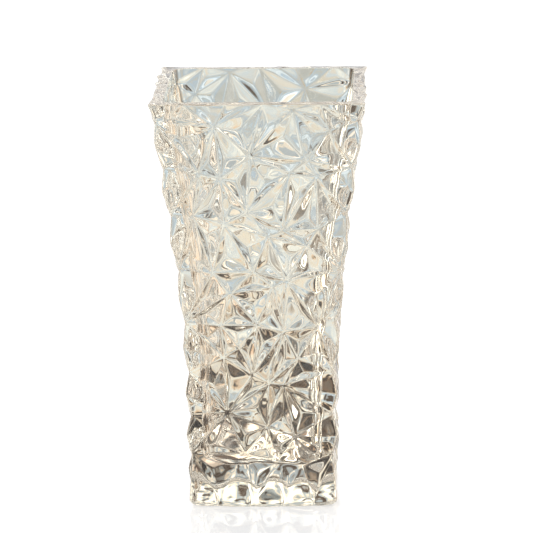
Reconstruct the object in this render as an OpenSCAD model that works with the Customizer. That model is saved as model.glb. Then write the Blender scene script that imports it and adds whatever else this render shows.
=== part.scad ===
// Square flared vase in thick pressed crystal, standing on a solid foot.
// The one casting is divided into its natural regions: the solid base block
// and four cut walls, which are alike and meet in mitres at the corners.
// Every wall carries the same network of cuts. The cuts cross in stars, and
// the glass between them rises in low pyramids. Along the corners it rises
// in a chain of beads.
// Frame: origin at the centre of the underside, +Z up, -Y towards the viewer.

/* [Vase] */
// Height from the table to the rim
height = 250; // [230:5:270]
// Half the width across the cuts at the foot
foot_half = 42.5; // [38:0.5:46]
// Half the width across the cuts at the rim
rim_half = 62; // [56:1:66]
// Height up to which the sides stand upright
upright_h = 60; // [40:5:80]
// How late the sides flare, where 1 is a straight flare
flare = 1.6; // [1.2:0.1:2]

/* [Cavity] */
// Thickness of the solid glass under the cavity
floor_h = 24; // [20:1:28]
// Glass between the cavity and the bottom of the cuts
wall = 6.5; // [5.5:0.5:8]
// Corner radius of the cavity
cavity_r = 6.5; // [4:0.5:9]

/* [Cutting] */
// Most that a pyramid rises above the cuts round it
relief = 3; // [1.5:0.5:4]
// Most that a corner bead rises above the notches
bead = 2.5; // [1.5:0.5:3.5]

/* [Hidden] */
glass_colour = [0.87, 0.86, 0.82, 0.6];
foot_colour = [0.8, 0.82, 0.82, 0.7];

// The cutting is drawn once, on a flat face: across as a percentage of the
// half width, and up in millimetres from the cavity floor to the rim.
drawn_half = 48;
drawn_h = 226;
edge = 100;
// Where cuts cross, from the rim down
stars = [
    [34, 222], [-42, 212], [71, 209],
    [-8, 194], [49, 191], [-63, 183], [33, 183], [62, 181], [-40, 180],
    [-13, 159], [-75, 157], [-40, 152], [68, 149], [28, 148], [11, 144], [56, 138],
    [-8, 122], [-58, 122], [33, 117], [16, 113], [-38, 109],
    [-4, 89], [-53, 89], [76, 88], [31, 85], [-29, 75], [-50, 69], [50, 68],
    [-12, 58], [11, 53], [31, 52], [-48, 35], [7, 26], [46, 20], [-25, 9]
];
// Heights where cuts run round a corner. The outer two lie past the wall's ends.
notches = [-26, 9, 34, 60, 91, 123, 158, 186, 215, 245];
// Where a bead has points of its own, as parts of the way between its notches
bead_parts = [0.2, 0.5, 0.8];
// Points along the rim, and along the top of the base block: across, and rise
rim_points = [[-70, 1.2], [-30, 0.4], [5, 1.2], [60, 0.6]];
crest_points = [[-62, 0.8], [-28, 2], [8, 1], [44, 2], [72, 0.8]];
// Cells of at least this inner radius rise by the full relief
full_cell_r = 7;
// A cell's corners are nearer to each other than this
longest_cut = 75;
// Levels of the base block: height as a part of its thickness, share of the rise, inset
base_levels = [[0, 0.2, 3], [0.05, 0.6, 1.2], [0.17, 0.9, 0.2], [0.55, 1.25, 0], [1, 1, 0]];
// Facets of the cavity, upwards, and the turns of its corners from the middle of a side
cavity_steps = 10;
cavity_turns = [0, 22.5, 45];
flat_limit = 0.001;

// The vase's outline and the rise of its corners
function half_width(z) = foot_half
    + (rim_half - foot_half) * pow(max(0, z - upright_h) / (height - upright_h), flare);

function bead_span(y) = [for (i = [1:len(notches) - 1])
    if (y >= notches[i - 1] && y < notches[i]) [notches[i - 1], notches[i]]][0];

function bead_rise(y) =
    let (span = bead_span(y), part = 2 * (y - span[0]) / (span[1] - span[0]) - 1)
    bead * (1 - part * part);

// A drawn point [across, up, rise] set on the front wall
function on_wall(p) =
    let (z = floor_h + p[1] * (height - floor_h) / drawn_h, h = half_width(z) + p[2])
    [p[0] / edge * h, -h, z];

// The points that cells are made from
corner_ups = [0, each [for (y = notches) if (y > 0 && y < drawn_h) y], drawn_h];
bead_ups = [for (i = [1:len(notches) - 1]) for (part = bead_parts)
    notches[i - 1] + part * (notches[i] - notches[i - 1])];
function corner_point(side, y) = [side * edge, y, bead_rise(y)];

points = concat(
    [for (s = stars) [s[0], s[1], 0]],
    [for (side = [-1, 1]) for (y = corner_ups) corner_point(side, y)],
    [for (p = rim_points) [p[0], drawn_h, p[1]]],
    [for (p = crest_points) [p[0], 0, p[1]]]
);
drawn = [for (p = points) [p[0] / edge * drawn_half, p[1]]];
border_count = 2 * len(corner_ups) + len(rim_points) + len(crest_points);

// Twice the area of a triangle, positive when its corners run anticlockwise
function turn(a, b, c) = (b[0] - a[0]) * (c[1] - a[1]) - (b[1] - a[1]) * (c[0] - a[0]);

function circle_centre(a, b, c) =
    let (
        t = 2 * turn(a, b, c),
        u = (b - a) * (b - a),
        v = (c - a) * (c - a)
    )
    a + [u * (c[1] - a[1]) - v * (b[1] - a[1]), v * (b[0] - a[0]) - u * (c[0] - a[0])] / t;

function is_empty_circle(centre, square) =
    len([for (p = drawn) if ((p - centre) * (p - centre) < square - flat_limit) p]) == 0;

// Cells are the triangles whose circles hold no other point, corners anticlockwise
last = len(drawn) - 1;
cells = [
    for (i = [0:last - 2])
    for (j = [i + 1:last - 1])
    if (norm(drawn[i] - drawn[j]) < longest_cut)
    for (k = [j + 1:last])
    if (norm(drawn[j] - drawn[k]) < longest_cut)
    let (t = turn(drawn[i], drawn[j], drawn[k]))
    if (abs(t) > flat_limit)
    let (centre = circle_centre(drawn[i], drawn[j], drawn[k]))
    if (is_empty_circle(centre, (drawn[i] - centre) * (drawn[i] - centre)))
    t > 0 ? [i, j, k] : [i, k, j]
];
assert(len(cells) == 2 * len(points) - 2 - border_count, "the cells cover the wall once");

function cell_rise(cell) =
    let (
        a = drawn[cell[0]], b = drawn[cell[1]], c = drawn[cell[2]],
        inner_r = turn(a, b, c) / (norm(b - a) + norm(c - b) + norm(a - c))
    )
    relief * min(1, inner_r / full_cell_r);

// The start of a cell's side, and the bead points along it if it is a corner
function cell_side(a, b) =
    let (
        on_corner = abs(a[0]) == edge && a[0] == b[0],
        up = b[1] > a[1],
        inside = [for (y = bead_ups) if ((y - a[1]) * (y - b[1]) < 0) y],
        count = len(inside)
    )
    !on_corner || count == 0 ? [a]
        : [a, for (i = [0:count - 1]) corner_point(a[0] / edge, inside[up ? i : count - 1 - i])];

function cell_facets(cell) =
    let (
        a = points[cell[0]], b = points[cell[1]], c = points[cell[2]],
        top = on_wall((a + b + c) / 3 + [0, 0, cell_rise(cell)]),
        rim = [for (p = concat(cell_side(a, b), cell_side(b, c), cell_side(c, a))) on_wall(p)],
        count = len(rim)
    )
    [for (i = [0:count - 1]) [rim[i], rim[(i + 1) % count], top]];

// The cavity's outline on the front wall, from the left mitre to the right one
function cavity_line(z) =
    let (c = half_width(z) - wall - cavity_r, count = len(cavity_turns))
    [for (side = [-1, 1]) for (i = [0:count - 1])
        let (a = cavity_turns[side > 0 ? i : count - 1 - i])
        [side * (c + cavity_r * sin(a)), -(c + cavity_r * cos(a)), z]];

// Triangles between two lines of points that run the same way along an axis
function join_lines(a, b, axis, i = 0, j = 0) =
    i == len(a) - 1 && j == len(b) - 1 ? []
        : j == len(b) - 1 || (i < len(a) - 1 && a[i + 1][axis] < b[j + 1][axis])
            ? concat([[a[i], b[j], a[i + 1]]], join_lines(a, b, axis, i + 1, j))
            : concat([[a[i], b[j], b[j + 1]]], join_lines(a, b, axis, i, j + 1));

// Triangles between two rows with the same number of points, facing the row's right
function join_rows(low, high) = [
    for (i = [0:len(low) - 2]) each [
        [low[i], low[i + 1], high[i + 1]],
        [low[i], high[i + 1], high[i]]
    ]
];

function corner_line(side) =
    let (ups = [for (y = bead_ups) if (y > 0 && y < drawn_h) y])
    [for (i = [1:len(corner_ups) - 1]) each [
        on_wall(corner_point(side, corner_ups[i - 1])),
        for (y = ups) if (y > corner_ups[i - 1] && y < corner_ups[i]) on_wall(corner_point(side, y)),
        if (i == len(corner_ups) - 1) on_wall(corner_point(side, drawn_h))
    ]];

function border_line(list, up) = [for (p = [
    corner_point(-1, up), for (p = list) [p[0], up, p[1]], corner_point(1, up)
]) on_wall(p)];

module solid(triangles) {
    polyhedron(
        points = [for (t = triangles) each t],
        faces = [for (i = [0:len(triangles) - 1]) [3 * i + 2, 3 * i + 1, 3 * i]]
    );
}

module cut_wall() {
    levels = [for (i = [0:cavity_steps]) floor_h + i * (height - floor_h) / cavity_steps];
    inside = [for (z = levels) cavity_line(z)];
    ends = len(inside[0]) - 1;
    left_mitre = [for (line = inside) line[0]];
    right_mitre = [for (line = inside) line[ends]];
    rim = border_line(rim_points, drawn_h);
    foot = border_line(crest_points, 0);
    solid(concat(
        [for (cell = cells) each cell_facets(cell)],
        [for (i = [1:cavity_steps]) each join_rows(inside[i], inside[i - 1])],
        join_lines(left_mitre, corner_line(-1), 2),
        join_lines(corner_line(1), right_mitre, 2),
        join_lines(inside[cavity_steps], rim, 0),
        join_lines(foot, inside[0], 0)
    ));
}

// One side of the base block at a level, from its left corner to before its right one
function base_side(level) = [for (p = [corner_point(-1, 0), for (q = crest_points) [q[0], 0, q[1]]])
    let (h = half_width(0) + p[2] * level[1] - level[2])
    [p[0] / edge * h, -h, level[0] * floor_h]];

function turned(p, quarter) = quarter == 0 ? p : turned([-p[1], p[0], p[2]], quarter - 1);

module base_block() {
    rings = [for (level = base_levels)
        let (side = base_side(level))
        [for (quarter = [0:3]) each [for (p = side) turned(p, quarter)], side[0]]];
    top = rings[len(rings) - 1];
    bottom = rings[0];
    color(foot_colour) solid(concat(
        [for (i = [1:len(rings) - 1]) each join_rows(rings[i - 1], rings[i])],
        [for (i = [1:len(top) - 1]) [top[i - 1], top[i], [0, 0, floor_h]]],
        [for (i = [1:len(bottom) - 1]) [bottom[i], bottom[i - 1], [0, 0, 0]]]
    ));
}

module wall_front() {
    color(glass_colour) cut_wall();
}

module wall_right() {
    color(glass_colour) rotate(90) cut_wall();
}

module wall_back() {
    color(glass_colour) rotate(180) cut_wall();
}

module wall_left() {
    color(glass_colour) rotate(270) cut_wall();
}

base_block();
wall_front();
wall_right();
wall_back();
wall_left();
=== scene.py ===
import math
import random

import bmesh
import bpy
from mathutils import Matrix, Vector, geometry, noise


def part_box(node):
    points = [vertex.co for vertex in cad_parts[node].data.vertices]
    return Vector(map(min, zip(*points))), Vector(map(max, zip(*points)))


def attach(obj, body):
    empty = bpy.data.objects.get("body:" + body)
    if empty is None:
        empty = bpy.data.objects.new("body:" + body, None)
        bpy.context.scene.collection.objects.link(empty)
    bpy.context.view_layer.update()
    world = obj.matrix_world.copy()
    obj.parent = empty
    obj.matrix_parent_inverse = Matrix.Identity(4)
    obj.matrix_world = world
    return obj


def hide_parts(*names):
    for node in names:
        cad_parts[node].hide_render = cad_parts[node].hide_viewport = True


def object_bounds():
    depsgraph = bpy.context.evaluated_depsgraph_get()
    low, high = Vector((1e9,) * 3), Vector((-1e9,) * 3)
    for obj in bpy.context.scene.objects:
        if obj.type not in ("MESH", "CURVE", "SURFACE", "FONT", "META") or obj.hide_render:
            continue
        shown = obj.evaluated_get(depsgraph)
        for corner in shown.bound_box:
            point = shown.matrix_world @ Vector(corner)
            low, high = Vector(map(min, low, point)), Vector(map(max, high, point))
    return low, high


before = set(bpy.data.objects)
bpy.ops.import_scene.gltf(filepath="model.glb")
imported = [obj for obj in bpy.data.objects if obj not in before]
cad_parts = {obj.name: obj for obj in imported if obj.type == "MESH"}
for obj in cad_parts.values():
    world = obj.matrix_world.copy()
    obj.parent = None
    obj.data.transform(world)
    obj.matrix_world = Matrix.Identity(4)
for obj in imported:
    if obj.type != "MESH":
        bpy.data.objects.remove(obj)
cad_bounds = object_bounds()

# ---------------------------------------------------------------------------
# Driving sizes, in metres. The frame gives the height, the foot and the rim.
# ---------------------------------------------------------------------------
MM = 0.001
CAD_HIGH = cad_bounds[1]
BASE_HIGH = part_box("base_block")[1]

HEIGHT = CAD_HIGH[2]
FLOOR_TOP = BASE_HIGH[2]
CORNER_RISE = 2.4 * MM
RIM_HALF = CAD_HIGH[0] - CORNER_RISE
FOOT_HALF = BASE_HIGH[0] - CORNER_RISE
UPRIGHT_HEIGHT = 60 * MM
FLARE_POWER = 1.6

WALL = 6.5 * MM
CORNER_RADIUS = 2.6 * MM
CAVITY_RADIUS = 6.5 * MM
CAVITY_FILLET = 7 * MM
FOOT_EDGE = 5 * MM
SIDE_FOOT_EDGE = 0.2
RIM_EDGE = 0.9 * MM
RIM_INNER_EDGE = 0.7 * MM

# The cutting: rises, edge softness and how finely each facet is meshed
CELL_RISE = 3.8 * MM
RISE_LIMIT = 4.4 * MM
FULL_CELL_RADIUS = 7 * MM
HIP_SOFTNESS = 0.55 * MM
CUT_SOFTNESS = 0.22 * MM
PEAK_WANDER = 0.35
PEAK_SEED = 7
FACET_STEPS = 8
# Near the foot the cells turn into low, blunt cushions
CUSHIONS_BELOW = 38 * MM
CUSHIONS_FULL = 14 * MM
CUSHION_BLUNTNESS = 5
CUSHION_RISE = 0.75
# Cells wholly beyond this share of the half width keep more of their relief
CORNER_CELL = 0.5
CORNER_CUSHION = 0.3

# ---------------------------------------------------------------------------
# The network of cuts, drawn once on a flat face: across as a percentage of
# the half width, and up in millimetres from the table.
# ---------------------------------------------------------------------------
EDGE = 100
# Where the peak of a cell with free sides lies, by the number of its cut sides
FREE_PEAKS = {1: (1.0, 1.0, 1.0), 2: (0.5, 0.5, 0.5)}
DRAWN_HALF = 48 * MM
STARS = [
    (34, 246), (-42, 236), (71, 233),
    (-8, 218), (49, 215), (-63, 207), (33, 207), (62, 205), (-40, 204),
    (-13, 183), (-75, 181), (-40, 176), (68, 173), (28, 172), (11, 168), (56, 162),
    (-8, 146), (-58, 146), (33, 141), (16, 137), (-38, 133),
    (-4, 113), (-53, 113), (76, 112), (31, 109), (-29, 99), (-50, 93), (50, 92),
    (-12, 82), (11, 77), (31, 76), (-48, 59), (7, 50), (46, 44), (-25, 33), (22, 28), (55, 26),
]
NOTCHES = [33, 58, 84, 115, 147, 182, 210, 239]
RIM_CUTS = [-70, -30, 5, 60]
FOOT_CUTS = [-62, -12, 34, 74]


def half_width(z):
    above = max(0.0, z - UPRIGHT_HEIGHT) / (HEIGHT - UPRIGHT_HEIGHT)
    return FOOT_HALF + (RIM_HALF - FOOT_HALF) * above ** FLARE_POWER


def square_point(u, half, radius):
    """A point on the front side of a square with round corners, u from -1 to 1."""
    along = u * half
    past = abs(along) - (half - radius)
    if past <= 0:
        return along, -half
    angle = past / radius * math.pi / 4
    side = math.copysign(1, u)
    centre = half - radius
    return side * (centre + radius * math.sin(angle)), -(centre + radius * math.cos(angle))


def outer_point(u, z, rise, inset=0.0):
    half = half_width(z) + rise - inset
    x, y = square_point(u, half, CORNER_RADIUS + inset)
    return Vector((x, y, z))


# ---------------------------------------------------------------------------
# Cells: the triangles between the cuts
# ---------------------------------------------------------------------------
FOOT_LINE = FOOT_EDGE
RIM_LINE = HEIGHT - RIM_EDGE
# Points nearer than this are one point, and places are rounded to these digits
SAME_CUT_POINT = 1e-7
SAME_MESH_POINT = 1e-6
ACROSS_DIGITS = 6
UP_DIGITS = 7


def cut_points():
    """Every point where cuts cross or end, as (across, up), and the drawn places."""
    ups = [FOOT_LINE] + [up * MM for up in NOTCHES] + [RIM_LINE]
    points = [(u / EDGE, up * MM) for u, up in STARS]
    points += [(side, up) for side in (-1, 1) for up in ups]
    points += [(u / EDGE, RIM_LINE) for u in RIM_CUTS]
    points += [(u / EDGE, FOOT_LINE) for u in FOOT_CUTS]
    return points


def is_free(a, b):
    """Along a corner, the rim or the foot there is no cut."""
    on_corner = abs(a[0]) == 1 and a[0] == b[0]
    on_end = a[1] == b[1] and a[1] in (FOOT_LINE, RIM_LINE)
    return on_corner or on_end


def make_cells(points):
    drawn = [Vector((u * DRAWN_HALF, up)) for u, up in points]
    result = geometry.delaunay_2d_cdt(drawn, [], [], 0, SAME_CUT_POINT)
    cells = [tuple(result[3][v][0] for v in face) for face in result[2]]
    return drawn, sorted(cells)


def soft_min(a, b, softness):
    spread = max(softness - abs(a - b), 0)
    return min(a, b) - spread * spread / (4 * softness)


def cell_height(weights, peak, cut_sides, rise, bluntness):
    """How far a cell stands out at a place given by its three weights."""
    planes = [rise * weights[i] / peak[i] for i in cut_sides]
    lowest = planes[0]
    for plane in planes[1:]:
        lowest = soft_min(lowest, plane, HIP_SOFTNESS * bluntness)
    domed = RISE_LIMIT * math.tanh(max(lowest, 0) / RISE_LIMIT)
    groove = CUT_SOFTNESS * bluntness
    return math.hypot(domed, groove) - groove


def cushion_share(up):
    """0 for the sharply cut cells, rising to 1 for the cushions at the foot."""
    share = (CUSHIONS_BELOW - up) / (CUSHIONS_BELOW - CUSHIONS_FULL)
    return min(1.0, max(0.0, share))


def graded(part):
    """Steps from 0 to 1 that crowd together near both ends."""
    return part * part * (3 - 2 * part)


def facet_grid(corners):
    """Weights of a facet's mesh points, and its triangles, for a facet of a cell."""
    steps = FACET_STEPS
    index = {}
    weights = []
    for i in range(steps + 1):
        for j in range(steps + 1 - i):
            shares = [graded(i / steps), graded(j / steps), graded((steps - i - j) / steps)]
            total = sum(shares)
            index[i, j] = len(weights)
            weights.append([
                sum(share / total * corner[k] for share, corner in zip(shares, corners))
                for k in range(3)
            ])
    triangles = []
    for i in range(steps):
        for j in range(steps - i):
            triangles.append((index[i, j], index[i + 1, j], index[i, j + 1]))
            if i + j < steps - 1:
                triangles.append((index[i + 1, j], index[i + 1, j + 1], index[i, j + 1]))
    return weights, triangles


def cell_facets(peak, cut_sides):
    """The facets of a cell, each as three corners given by their weights."""
    ends = [(1.0, 0.0, 0.0), (0.0, 1.0, 0.0), (0.0, 0.0, 1.0)]
    if len(cut_sides) == 3:
        return [(ends[i], ends[(i + 1) % 3], peak) for i in range(3)]
    if len(cut_sides) == 2:
        free = ({0, 1, 2} - set(cut_sides)).pop()
        a, b = ends[(free + 1) % 3], ends[(free + 2) % 3]
        middle = tuple((p + q) / 2 for p, q in zip(a, b))
        return [(ends[free], a, middle), (b, ends[free], middle)]
    return [tuple(ends)]


def cut_side():
    """One side of the vase: its mesh points as [across, up, rise], and triangles."""
    draws = random.Random(PEAK_SEED)
    points = cut_points()
    drawn, cells = make_cells(points)
    index = {}
    rises = []
    faces = []
    for cell in cells:
        corner_points = [points[i] for i in cell]
        a, b, c = (drawn[i] for i in cell)
        around = (c - b).length + (a - c).length + (b - a).length
        inner_radius = abs((b - a).cross(c - a)) / around
        cushion = cushion_share(sum(point[1] for point in corner_points) / 3)
        if all(abs(point[0]) > CORNER_CELL for point in corner_points):
            cushion *= CORNER_CUSHION
        bluntness = 1 + (CUSHION_BLUNTNESS - 1) * cushion
        rise = CELL_RISE * min(1.0, inner_radius / FULL_CELL_RADIUS)
        rise *= 1 - (1 - CUSHION_RISE) * cushion
        cut_sides = [i for i in range(3)
                     if not is_free(corner_points[(i + 1) % 3], corner_points[(i + 2) % 3])]
        pulls = [1 + PEAK_WANDER * draws.uniform(-1, 1) for _ in range(3)]
        peak = FREE_PEAKS.get(len(cut_sides), tuple(pull / sum(pulls) for pull in pulls))
        for corners in cell_facets(peak, cut_sides):
            weights, triangles = facet_grid(corners)
            names = []
            for weight in weights:
                u = round(sum(w * p[0] for w, p in zip(weight, corner_points)), ACROSS_DIGITS)
                up = round(sum(w * p[1] for w, p in zip(weight, corner_points)), UP_DIGITS)
                if (u, up) not in index:
                    index[u, up] = len(rises)
                    rises.append([])
                names.append(index[u, up])
                height = cell_height(weight, peak, cut_sides, rise, bluntness)
                rises[index[u, up]].append(height)
            faces += [tuple(names[i] for i in triangle) for triangle in triangles]
    for (u, up), i in index.items():
        if u == 1:
            both = rises[i] + rises[index[-1, up]]
            rises[i] = both
            rises[index[-1, up]] = both
    places = [[u, up, sum(rises[i]) / len(rises[i])] for (u, up), i in index.items()]
    return places, faces


# ---------------------------------------------------------------------------
# The glass: cut sides, rim, cavity and underside as one closed mesh
# ---------------------------------------------------------------------------
QUARTER_TURN = math.pi / 2
RIM_TURNS = 5
FOOT_TURNS = 5
FILLET_TURNS = 6
CAVITY_ROWS = 30
# The share of the cutting's rise that is lost round the rim and round the foot
RIM_LOSS = 0.35
FOOT_LOSS = 0.5
# How suddenly the rounding of the foot grows towards the corners
FOOT_CORNER_POWER = 3
# The unevenness of the glass, outside and in the cavity
WAVE = 0.12 * MM
CAVITY_WAVE = 0.25 * MM
WAVE_LENGTH = 22 * MM
WAVES_ACROSS = 2
# Sets the waves of one side apart from the next side's, and fades them out at its edges
WAVE_SHIFT = 9.0
WAVE_FADE = 20
RIM_WAVE = 0.9 * MM
RIM_WAVE_LENGTH = 9 * MM
PUSH_UP = 0.2 * MM
RINGS_TO_CENTRE = [0.8, 0.6, 0.4, 0.2]
# The ring the vase stands on, and the shallow recess inside it
FOOT_RING = 5 * MM
RECESS_TURNS = 6
RECESS_SLOPE = 3 * MM
RECESS_RADIUS = 8 * MM


def quarter_turned(point, quarter):
    x, y, z = point
    for _ in range(quarter):
        x, y = -y, x
    return Vector((x, y, z))


def wavy(point, outward, amount):
    """The slight unevenness that pressing leaves, along a horizontal direction."""
    swell = noise.noise(Vector(point) / WAVE_LENGTH)
    return Vector(point) + outward * amount * swell


def with_rim_wave(point, share):
    """Dips the rim a little, as fire-polishing leaves it. It never rises past its height."""
    swell = noise.noise(Vector(point) / RIM_WAVE_LENGTH)
    return point - Vector((0, 0, RIM_WAVE * share * (1 + swell) / 2))


def outward_of(point):
    return Vector((point[0], point[1], 0)).normalized()


class Shell:
    """Collects points and faces, and joins what lies in one place at the end."""

    def __init__(self):
        self.points = []
        self.faces = []

    def add(self, points, faces):
        first = len(self.points)
        self.points += points
        self.faces += [tuple(first + i for i in face) for face in faces]

    def add_ring_wall(self, rings):
        """Quads between rings that have the same number of points."""
        count = len(rings[0])
        points = [point for ring in rings for point in ring]
        faces = []
        for row in range(len(rings) - 1):
            for i in range(count):
                j = (i + 1) % count
                faces.append((row * count + i, row * count + j,
                              (row + 1) * count + j, (row + 1) * count + i))
        self.add(points, faces)

    def add_fan(self, ring, centre):
        count = len(ring)
        self.add(ring + [centre], [(i, (i + 1) % count, count) for i in range(count)])

    def to_object(self, name):
        mesh = bpy.data.meshes.new(name)
        mesh.from_pydata(self.points, [], self.faces)
        work = bmesh.new()
        work.from_mesh(mesh)
        bmesh.ops.remove_doubles(work, verts=work.verts, dist=SAME_MESH_POINT)
        bmesh.ops.recalc_face_normals(work, faces=work.faces)
        work.to_mesh(mesh)
        work.free()
        mesh.polygons.foreach_set("use_smooth", [True] * len(mesh.polygons))
        obj = bpy.data.objects.new(name, mesh)
        bpy.context.collection.objects.link(obj)
        return obj


def border(places, up):
    """The columns of one side that meet the rim or the foot, from left to right."""
    return sorted((u, rise) for u, z, rise in places if z == up and u < 1)


def outer_ring(columns, z, share, inset):
    return [quarter_turned(outer_point(u, z, rise * share, inset), quarter)
            for quarter in range(4) for u, rise in columns]


def foot_ring(columns, turn):
    """A ring of the rounded foot edge, which is fuller at the corners."""
    z = FOOT_LINE - FOOT_EDGE * math.sin(turn)
    share = 1 - FOOT_LOSS * turn / QUARTER_TURN
    ring = []
    for quarter in range(4):
        for u, rise in columns:
            corner = abs(u) ** FOOT_CORNER_POWER
            depth = FOOT_EDGE * (SIDE_FOOT_EDGE + (1 - SIDE_FOOT_EDGE) * corner)
            inset = depth * (1 - math.cos(turn))
            ring.append(quarter_turned(outer_point(u, z, rise * share, inset), quarter))
    return ring


def cavity_ring(columns, z, inset, radius):
    half = half_width(max(z, FLOOR_TOP)) - WALL - inset
    ring = []
    for quarter in range(4):
        for u, _ in columns:
            point = quarter_turned((*square_point(u, half, min(radius, half)), z), quarter)
            fade = min(1.0, (HEIGHT - z) / WAVE_LENGTH)
            ring.append(wavy(point, outward_of(point), CAVITY_WAVE * fade))
    return ring


def turns(count):
    return [QUARTER_TURN * i / count for i in range(count + 1)]


def add_rim_and_cavity(shell, columns):
    rings = []
    for turn in turns(RIM_TURNS):
        z = RIM_LINE + RIM_EDGE * math.sin(turn)
        share = 1 - RIM_LOSS * turn / QUARTER_TURN
        ring = outer_ring(columns, z, share, RIM_EDGE * (1 - math.cos(turn)))
        rings.append([with_rim_wave(point, math.sin(turn)) for point in ring])
    for turn in turns(RIM_TURNS):
        z = HEIGHT - RIM_INNER_EDGE * (1 - math.cos(turn))
        inset = -RIM_INNER_EDGE * (1 - math.sin(turn))
        ring = cavity_ring(columns, z, inset, CAVITY_RADIUS + RIM_INNER_EDGE)
        rings.append([with_rim_wave(point, 1 - turn / QUARTER_TURN) for point in ring])
    low = FLOOR_TOP + CAVITY_FILLET
    high = HEIGHT - RIM_INNER_EDGE
    for i in range(1, CAVITY_ROWS):
        z = high + (low - high) * i / CAVITY_ROWS
        rings.append(cavity_ring(columns, z, 0, CAVITY_RADIUS))
    for turn in turns(FILLET_TURNS):
        z = low - CAVITY_FILLET * math.sin(turn)
        inset = CAVITY_FILLET * (1 - math.cos(turn))
        rings.append(cavity_ring(columns, z, inset, CAVITY_RADIUS + inset))
    edge = half_width(FLOOR_TOP) - WALL - CAVITY_FILLET
    for share in RINGS_TO_CENTRE:
        inset = CAVITY_FILLET + edge * (1 - share)
        crown = PUSH_UP * (1 - share * share)
        rings.append(cavity_ring(columns, FLOOR_TOP + crown, inset, edge * share))
    shell.add_ring_wall(rings)
    shell.add_fan(rings[-1], Vector((0, 0, FLOOR_TOP + PUSH_UP)))


def add_underside(shell, columns):
    rings = [foot_ring(columns, turn) for turn in turns(FOOT_TURNS)]
    edge = FOOT_HALF - FOOT_EDGE - FOOT_RING
    for turn in turns(RECESS_TURNS):
        half = edge - RECESS_SLOPE * turn / QUARTER_TURN
        z = PUSH_UP * math.sin(turn) ** 2
        rings.append([quarter_turned((*square_point(u, half, RECESS_RADIUS), z), quarter)
                      for quarter in range(4) for u, _ in columns])
    shell.add_ring_wall(rings)
    shell.add_fan(rings[-1], Vector((0, 0, PUSH_UP)))


def make_vase():
    places, faces = cut_side()
    shell = Shell()
    for quarter in range(4):
        side = []
        for u, z, rise in places:
            where = Vector((u * WAVES_ACROSS, z / WAVE_LENGTH, quarter * WAVE_SHIFT))
            swell = WAVE * noise.noise(where)
            near_edge = min(1 - abs(u), (z - FOOT_LINE) / HEIGHT, (RIM_LINE - z) / HEIGHT)
            fade = min(1.0, max(0.0, near_edge * WAVE_FADE))
            side.append(quarter_turned(outer_point(u, z, rise + swell * fade), quarter))
        shell.add(side, faces)
    add_rim_and_cavity(shell, border(places, round(RIM_LINE, UP_DIGITS)))
    add_underside(shell, border(places, round(FOOT_LINE, UP_DIGITS)))
    return shell.to_object("crystal_vase")


# ---------------------------------------------------------------------------
# Materials
# ---------------------------------------------------------------------------
def new_material(name):
    material = bpy.data.materials.new(name)
    material.use_nodes = True
    tree = material.node_tree
    shader = tree.nodes["Principled BSDF"]
    return material, tree, shader


def fill_ramp(ramp, stops):
    """Sets a colour ramp's stops, each a place and a colour."""
    elements = ramp.color_ramp.elements
    while len(elements) < len(stops):
        elements.new(0.5)
    for element, (place, colour) in zip(elements, stops):
        element.position = place
        element.color = (*colour, 1)


def link_noise(tree, place, scale, detail):
    pattern = tree.nodes.new("ShaderNodeTexNoise")
    pattern.inputs["Scale"].default_value = scale
    pattern.inputs["Detail"].default_value = detail
    tree.links.new(place, pattern.inputs["Vector"])
    return pattern.outputs["Fac"]


def link_own_noise(tree, scale, detail):
    """Noise that stays where it is on the object."""
    place = tree.nodes.new("ShaderNodeTexCoord")
    return link_noise(tree, place.outputs["Object"], scale, detail)


# The glass: how strongly it bends light, its two tints, its haze and its flow marks
GLASS_BENDING = 1.53
TINTS = [(0, (0.985, 0.985, 0.985)), (1, (1.0, 0.99, 0.975))]
MOST_HAZE = 0.02
FLOW_STRENGTH = 0.04
FLOW_DEPTH = 1 * MM


def crystal():
    """Clear pressed crystal: fire-polished, with faint flow marks and a trace of tint."""
    material, tree, shader = new_material("clear_crystal")
    shader.inputs["Transmission Weight"].default_value = 1.0
    shader.inputs["IOR"].default_value = GLASS_BENDING
    tint = tree.nodes.new("ShaderNodeValToRGB")
    fill_ramp(tint, TINTS)
    tree.links.new(link_own_noise(tree, scale=9.0, detail=2.0), tint.inputs["Fac"])
    tree.links.new(tint.outputs["Color"], shader.inputs["Base Color"])
    haze = tree.nodes.new("ShaderNodeMapRange")
    haze.inputs["To Max"].default_value = MOST_HAZE
    tree.links.new(link_own_noise(tree, scale=30.0, detail=3.0), haze.inputs["Value"])
    tree.links.new(haze.outputs["Result"], shader.inputs["Roughness"])
    flow = tree.nodes.new("ShaderNodeBump")
    flow.inputs["Strength"].default_value = FLOW_STRENGTH
    flow.inputs["Distance"].default_value = FLOW_DEPTH
    tree.links.new(link_own_noise(tree, scale=60.0, detail=2.0), flow.inputs["Height"])
    tree.links.new(flow.outputs["Normal"], shader.inputs["Normal"])
    return material


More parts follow.
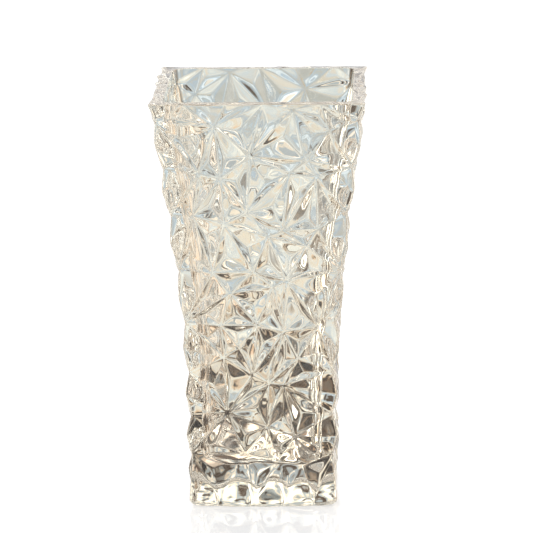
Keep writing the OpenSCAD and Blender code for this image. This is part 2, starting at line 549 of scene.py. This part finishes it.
# What stands round the vase, as it is seen through the glass: the reach in metres of each band of
# the table and its colour, which is painted light and shade:
# a bright painted pool of light at the foot, a dark painted contact shadow in a ring round it, a
# band of painted shade a little further out, then creamy and, far off, grey-blue painted studio
# light. Then the spots of painted light and shade that mottle it
PAINTED_TABLE_BANDS = [
    (0.0, (1.9, 1.8, 1.55)),
    (0.024, (1.9, 1.8, 1.55)),
    (0.026, (0.08, 0.05, 0.03)),
    (0.041, (0.08, 0.05, 0.03)),
    (0.045, (0.84, 0.81, 0.74)),
    (0.055, (0.84, 0.81, 0.74)),
    (0.085, (0.72, 0.67, 0.57)),
    (0.095, (0.10, 0.07, 0.045)),
    (0.13, (0.18, 0.14, 0.10)),
    (0.16, (0.54, 0.50, 0.43)),
    (0.25, (0.88, 0.84, 0.74)),
    (0.5, (0.84, 0.79, 0.67)),
    (1.2, (0.51, 0.53, 0.51)),
    (2.2, (0.52, 0.57, 0.57)),
    (6.0, (0.55, 0.62, 0.64)),
]
TABLE_REACH = 9
TABLE_SPOTS = [
    (0.34, (0.05, 0.035, 0.025)),
    (0.38, (0.42, 0.30, 0.20)),
    (0.405, (1.08, 0.82, 0.58)),
    (0.44, (1.02, 0.97, 0.86)),
    (0.52, (1.0, 1.0, 0.98)),
    (0.57, (0.88, 1.01, 1.14)),
    (0.64, (1.15, 1.2, 1.2)),
    (0.70, (1.6, 1.6, 1.6)),
]
# Close to the vase, as painted light and shade on the table, and in the sky, as studio light, lie
# cool and creamy patches of light with a few brown patches of shade
PATCH_SPOTS = [
    (0.385, (0.10, 0.07, 0.05)),
    (0.41, (0.36, 0.33, 0.29)),
    (0.44, (0.46, 0.53, 0.58)),
    (0.50, (0.60, 0.68, 0.73)),
    (0.515, (1.1, 1.0, 0.85)),
    (0.57, (1.2, 1.11, 0.96)),
    (0.63, (1.8, 1.75, 1.65)),
]
PATCH_REACH = 0.09
# The spots darken with painted shade close by and lighten with painted light far off, between
# these reaches in metres
NEAR_SHADE = 0.16
FAR_LIFT = 0.065
NEAR_REACH = 0.1
FAR_REACH = 0.45
# Light that has turned in the glass more often than this no longer shows single spots
CLEAR_TURNS = 5
BLURRED_TURNS = 12
BLURRED_SPOTS = (0.97, 0.96, 0.94, 1)
# How small the spots are
TABLE_MOTTLE = 4.2
PATCH_MOTTLE = 8.0
SKY_MOTTLE = 8.0
MOTTLE_DETAIL = 2.0
# The table's bands are laid out by this power of their reach, which spreads the near ones
REACH_POWER = 0.5
# The spots' length goes with the logarithm of the reach, to this base
SPOT_BASE = math.e ** 2


def link_spots(tree, mottle, stops):
    """Turns a mottle into spots of colour to multiply by, which blur after many turns."""
    ramp = tree.nodes.new("ShaderNodeValToRGB")
    fill_ramp(ramp, stops)
    tree.links.new(mottle, ramp.inputs["Fac"])
    path = tree.nodes.new("ShaderNodeLightPath")
    blur = tree.nodes.new("ShaderNodeMapRange")
    blur.inputs["From Min"].default_value = CLEAR_TURNS
    blur.inputs["From Max"].default_value = BLURRED_TURNS
    tree.links.new(path.outputs["Ray Depth"], blur.inputs["Value"])
    blurred = tree.nodes.new("ShaderNodeMixRGB")
    blurred.inputs["Color2"].default_value = BLURRED_SPOTS
    tree.links.new(blur.outputs["Result"], blurred.inputs["Fac"])
    tree.links.new(ramp.outputs["Color"], blurred.inputs["Color1"])
    return blurred.outputs["Color"]


# The light boxes at both sides, by how far to the left (0) or right (1) one looks
SIDE_STOPS = [
    (0.0, (0.75, 0.69, 0.64)),
    (0.04, (0.95, 0.87, 0.80)),
    (0.10, (1.3, 1.15, 1.05)),
    (0.18, (1.3, 1.12, 1.0)),
    (0.21, (0.45, 0.38, 0.33)),
    (0.25, (0.55, 0.48, 0.43)),
    (0.29, (1.0, 1.0, 1.0)),
    (0.69, (1.0, 1.0, 1.0)),
    (0.73, (0.42, 0.36, 0.32)),
    (0.85, (0.20, 0.16, 0.13)),
    (0.865, (3.6, 3.55, 3.4)),
    (0.93, (3.6, 3.55, 3.4)),
    (0.945, (0.20, 0.16, 0.13)),
    (0.985, (0.55, 0.50, 0.46)),
    (1.0, (0.80, 0.76, 0.72)),
]


def link_side_light(tree, across):
    """The glow of the side light boxes, from how far across one looks, -1 to 1."""
    spread = tree.nodes.new("ShaderNodeMapRange")
    spread.inputs["From Min"].default_value = -1
    ramp = tree.nodes.new("ShaderNodeValToRGB")
    fill_ramp(ramp, SIDE_STOPS)
    tree.links.new(across, spread.inputs["Value"])
    tree.links.new(spread.outputs["Result"], ramp.inputs["Fac"])
    return ramp.outputs["Color"]


def link_product(tree, first, second):
    product = tree.nodes.new("ShaderNodeMixRGB")
    product.blend_type = "MULTIPLY"
    product.inputs["Fac"].default_value = 1.0
    tree.links.new(first, product.inputs["Color1"])
    tree.links.new(second, product.inputs["Color2"])
    return product.outputs["Color"]


def add_math(tree, operation, source, value=None):
    node = tree.nodes.new("ShaderNodeMath")
    node.operation = operation
    tree.links.new(source, node.inputs[0])
    if value is not None:
        node.inputs[1].default_value = value
    return node.outputs["Value"]


def link_vector_math(tree, operation, source, output):
    node = tree.nodes.new("ShaderNodeVectorMath")
    node.operation = operation
    tree.links.new(source, node.inputs[0])
    return node.outputs[output]


def link_place_and_reach(tree):
    """A place on the table, and how far it is from the table's middle."""
    place = tree.nodes.new("ShaderNodeTexCoord").outputs["Object"]
    return place, link_vector_math(tree, "LENGTH", place, "Value")


def link_fade(tree, reach, reaches, values):
    """A number that goes from one value to another between two reaches."""
    fade = tree.nodes.new("ShaderNodeMapRange")
    fade.inputs["From Min"].default_value = reaches[0]
    fade.inputs["From Max"].default_value = reaches[1]
    fade.inputs["To Min"].default_value = values[0]
    fade.inputs["To Max"].default_value = values[1]
    tree.links.new(reach, fade.inputs["Value"])
    return fade.outputs["Result"]


def link_table_look(tree):
    """The table's painted light and shade by its distance from the vase, with spots that widen
    outwards.
    """
    place, reach = link_place_and_reach(tree)
    spread = add_math(tree, "POWER", reach, REACH_POWER)
    part = add_math(tree, "DIVIDE", spread, TABLE_REACH ** REACH_POWER)
    bands = tree.nodes.new("ShaderNodeValToRGB")
    stops = [((far / TABLE_REACH) ** REACH_POWER, colour) for far, colour in PAINTED_TABLE_BANDS]
    fill_ramp(bands, stops)
    tree.links.new(part, bands.inputs["Fac"])
    split = tree.nodes.new("ShaderNodeSeparateXYZ")
    heading = link_vector_math(tree, "NORMALIZE", place, "Vector")
    tree.links.new(heading, split.inputs["Vector"])
    join = tree.nodes.new("ShaderNodeCombineXYZ")
    tree.links.new(split.outputs["X"], join.inputs["X"])
    tree.links.new(split.outputs["Y"], join.inputs["Y"])
    tree.links.new(add_math(tree, "LOGARITHM", reach, SPOT_BASE), join.inputs["Z"])
    sides = link_side_light(tree, split.outputs["X"])
    lit = link_product(tree, bands.outputs["Color"], sides)
    plain = link_noise(tree, join.outputs["Vector"], TABLE_MOTTLE, MOTTLE_DETAIL)
    patches = link_noise(tree, join.outputs["Vector"], PATCH_MOTTLE, MOTTLE_DETAIL)
    shade = link_fade(tree, reach, (NEAR_REACH, FAR_REACH), (-NEAR_SHADE, FAR_LIFT))
    shaded = tree.nodes.new("ShaderNodeMath")
    shaded.operation = "ADD"
    tree.links.new(plain, shaded.inputs[0])
    tree.links.new(shade, shaded.inputs[1])
    spots = tree.nodes.new("ShaderNodeMixRGB")
    beyond = add_math(tree, "GREATER_THAN", reach, PATCH_REACH)
    tree.links.new(beyond, spots.inputs["Fac"])
    tree.links.new(link_spots(tree, patches, PATCH_SPOTS), spots.inputs["Color1"])
    tree.links.new(link_spots(tree, shaded.outputs["Value"], TABLE_SPOTS), spots.inputs["Color2"])
    return link_product(tree, lit, spots.outputs["Color"])


# The number of turns below which a thing counts as in plain sight, that is seen directly
# or mirrored once. The studio counts one turn more than the table does.
TABLE_SIGHT = 1.5
STUDIO_SIGHT = 2.5


def link_plain_sight(tree, sight):
    """1 for what is in plain sight, 0 for what is seen through the glass."""
    path = tree.nodes.new("ShaderNodeLightPath")
    return add_math(tree, "LESS_THAN", path.outputs["Ray Depth"], sight)


# The table is glossy up to the first reach, and matt and evenly white from the second on
GLOSSY_REACH = 0.11
MATT_REACH = 0.16
TABLE_GLOSS = 0.8
NEAR_GLOW = 0.53
FAR_GLOW = 0.8
TABLE_ROUGHNESS = 0.02
TABLE_GRAIN = [(0, (0.49, 0.49, 0.495)), (1, (0.52, 0.52, 0.525))]


def pale_floor():
    """A white table top. Through the glass it glows with painted light and shade: the mottled
    light of a studio.
    """
    material, tree, shader = new_material("pale_floor")
    shader.inputs["Roughness"].default_value = TABLE_ROUGHNESS
    shader.inputs["Emission Color"].default_value = (1, 1, 1, 1)
    _, reach = link_place_and_reach(tree)
    reaches = (GLOSSY_REACH, MATT_REACH)
    glow_of_table = link_fade(tree, reach, reaches, (NEAR_GLOW, FAR_GLOW))
    gloss = link_fade(tree, reach, reaches, (TABLE_GLOSS, 0))
    tree.links.new(glow_of_table, shader.inputs["Emission Strength"])
    tree.links.new(gloss, shader.inputs["Specular IOR Level"])
    grain = tree.nodes.new("ShaderNodeValToRGB")
    fill_ramp(grain, TABLE_GRAIN)
    tree.links.new(link_own_noise(tree, scale=4.0, detail=3.0), grain.inputs["Fac"])
    tree.links.new(grain.outputs["Color"], shader.inputs["Base Color"])
    glow = tree.nodes.new("ShaderNodeEmission")
    tree.links.new(link_table_look(tree), glow.inputs["Color"])
    mix = tree.nodes.new("ShaderNodeMixShader")
    tree.links.new(link_plain_sight(tree, TABLE_SIGHT), mix.inputs["Fac"])
    tree.links.new(glow.outputs["Emission"], mix.inputs[1])
    tree.links.new(shader.outputs["BSDF"], mix.inputs[2])
    tree.links.new(mix.outputs["Shader"], tree.nodes["Material Output"].inputs["Surface"])
    return material


# ---------------------------------------------------------------------------
# Stage: floor, studio light and camera
# ---------------------------------------------------------------------------
# Keeps the table from lying in the very plane of the vase's underside
FLOOR_GAP = 0.1 * MM
# The table's middle, with its pool of light, lies a little behind the vase's
GLOW_BEHIND = 10 * MM
FLOOR_SIDES = 96


def make_floor():
    bpy.ops.mesh.primitive_circle_add(
        vertices=FLOOR_SIDES,
        radius=TABLE_REACH,
        fill_type="NGON",
        location=(0, GLOW_BEHIND, -FLOOR_GAP),
    )
    floor = bpy.context.object
    floor.name = "floor"
    floor.data.materials.append(pale_floor())


# The studio round the vase, as bands of light by the sine of the height above the horizon
SKY_BANDS = [
    (-1.0, (0.50, 0.42, 0.34)),
    (-0.02, (0.70, 0.75, 0.76)),
    (0.0, (0.82, 0.80, 0.75)),
    (0.14, (0.86, 0.83, 0.75)),
    (0.26, (1.15, 1.08, 0.95)),
    (0.35, (1.0, 0.94, 0.81)),
    (0.42, (0.42, 0.39, 0.33)),
    (0.6, (0.42, 0.38, 0.32)),
    (1.0, (0.75, 0.71, 0.65)),
]


def make_world():
    world = bpy.data.worlds.new("studio")
    bpy.context.scene.world = world
    world.use_nodes = True
    tree = world.node_tree
    tree.nodes.clear()
    out = tree.nodes.new("ShaderNodeOutputWorld")
    background = tree.nodes.new("ShaderNodeBackground")
    place = tree.nodes.new("ShaderNodeTexCoord")
    split = tree.nodes.new("ShaderNodeSeparateXYZ")
    spread = tree.nodes.new("ShaderNodeMapRange")
    spread.inputs["From Min"].default_value = -1
    bands = tree.nodes.new("ShaderNodeValToRGB")
    fill_ramp(bands, [((height + 1) / 2, colour) for height, colour in SKY_BANDS])
    tree.links.new(place.outputs["Generated"], split.inputs["Vector"])
    tree.links.new(split.outputs["Z"], spread.inputs["Value"])
    tree.links.new(spread.outputs["Result"], bands.inputs["Fac"])
    mottle = link_noise(tree, place.outputs["Generated"], SKY_MOTTLE, MOTTLE_DETAIL)
    spots = link_spots(tree, mottle, PATCH_SPOTS)
    lit = link_product(tree, bands.outputs["Color"], link_side_light(tree, split.outputs["X"]))
    tree.links.new(link_product(tree, lit, spots), background.inputs["Color"])
    white = tree.nodes.new("ShaderNodeBackground")
    white.inputs["Color"].default_value = (1, 1, 1, 1)
    mix = tree.nodes.new("ShaderNodeMixShader")
    tree.links.new(link_plain_sight(tree, STUDIO_SIGHT), mix.inputs["Fac"])
    tree.links.new(background.outputs["Background"], mix.inputs[1])
    tree.links.new(white.outputs["Background"], mix.inputs[2])
    tree.links.new(mix.outputs["Shader"], out.inputs["Surface"])


CAMERA_DISTANCE = 2.1
CAMERA_TURN = math.radians(2.1)
CAMERA_RISE = math.radians(13.4)
CAMERA_ROLL = math.radians(-0.7)
CAMERA_LENS = 235.2
CAMERA_SIGHT = 50
# What the camera is aimed at: how far to the right, and at what share of the height
AIM_ACROSS = 2.3 * MM
AIM_UP = 0.553


def make_camera():
    target = Vector((AIM_ACROSS, 0, AIM_UP * HEIGHT))
    back = Vector((
        math.sin(CAMERA_TURN) * math.cos(CAMERA_RISE),
        -math.cos(CAMERA_TURN) * math.cos(CAMERA_RISE),
        math.sin(CAMERA_RISE),
    ))
    data = bpy.data.cameras.new("camera")
    data.lens = CAMERA_LENS
    data.clip_end = CAMERA_SIGHT
    camera = bpy.data.objects.new("camera", data)
    bpy.context.collection.objects.link(camera)
    turn = back.to_track_quat("Z", "Y").to_matrix() @ Matrix.Rotation(CAMERA_ROLL, 3, "Z")
    camera.matrix_world = Matrix.Translation(target + back * CAMERA_DISTANCE) @ turn.to_4x4()
    bpy.context.scene.camera = camera


bpy.context.scene.view_settings.view_transform = "Standard"
# Light turns many times inside the thick glass before it finds a way out
LIGHT_TURNS = 24
bpy.context.scene.cycles.max_bounces = LIGHT_TURNS
bpy.context.scene.cycles.glossy_bounces = LIGHT_TURNS
bpy.context.scene.cycles.transmission_bounces = LIGHT_TURNS

vase = make_vase()
vase.data.materials.append(crystal())
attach(vase, "root")
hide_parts("base_block", "wall_front", "wall_right", "wall_back", "wall_left")

make_floor()
make_world()
make_camera()
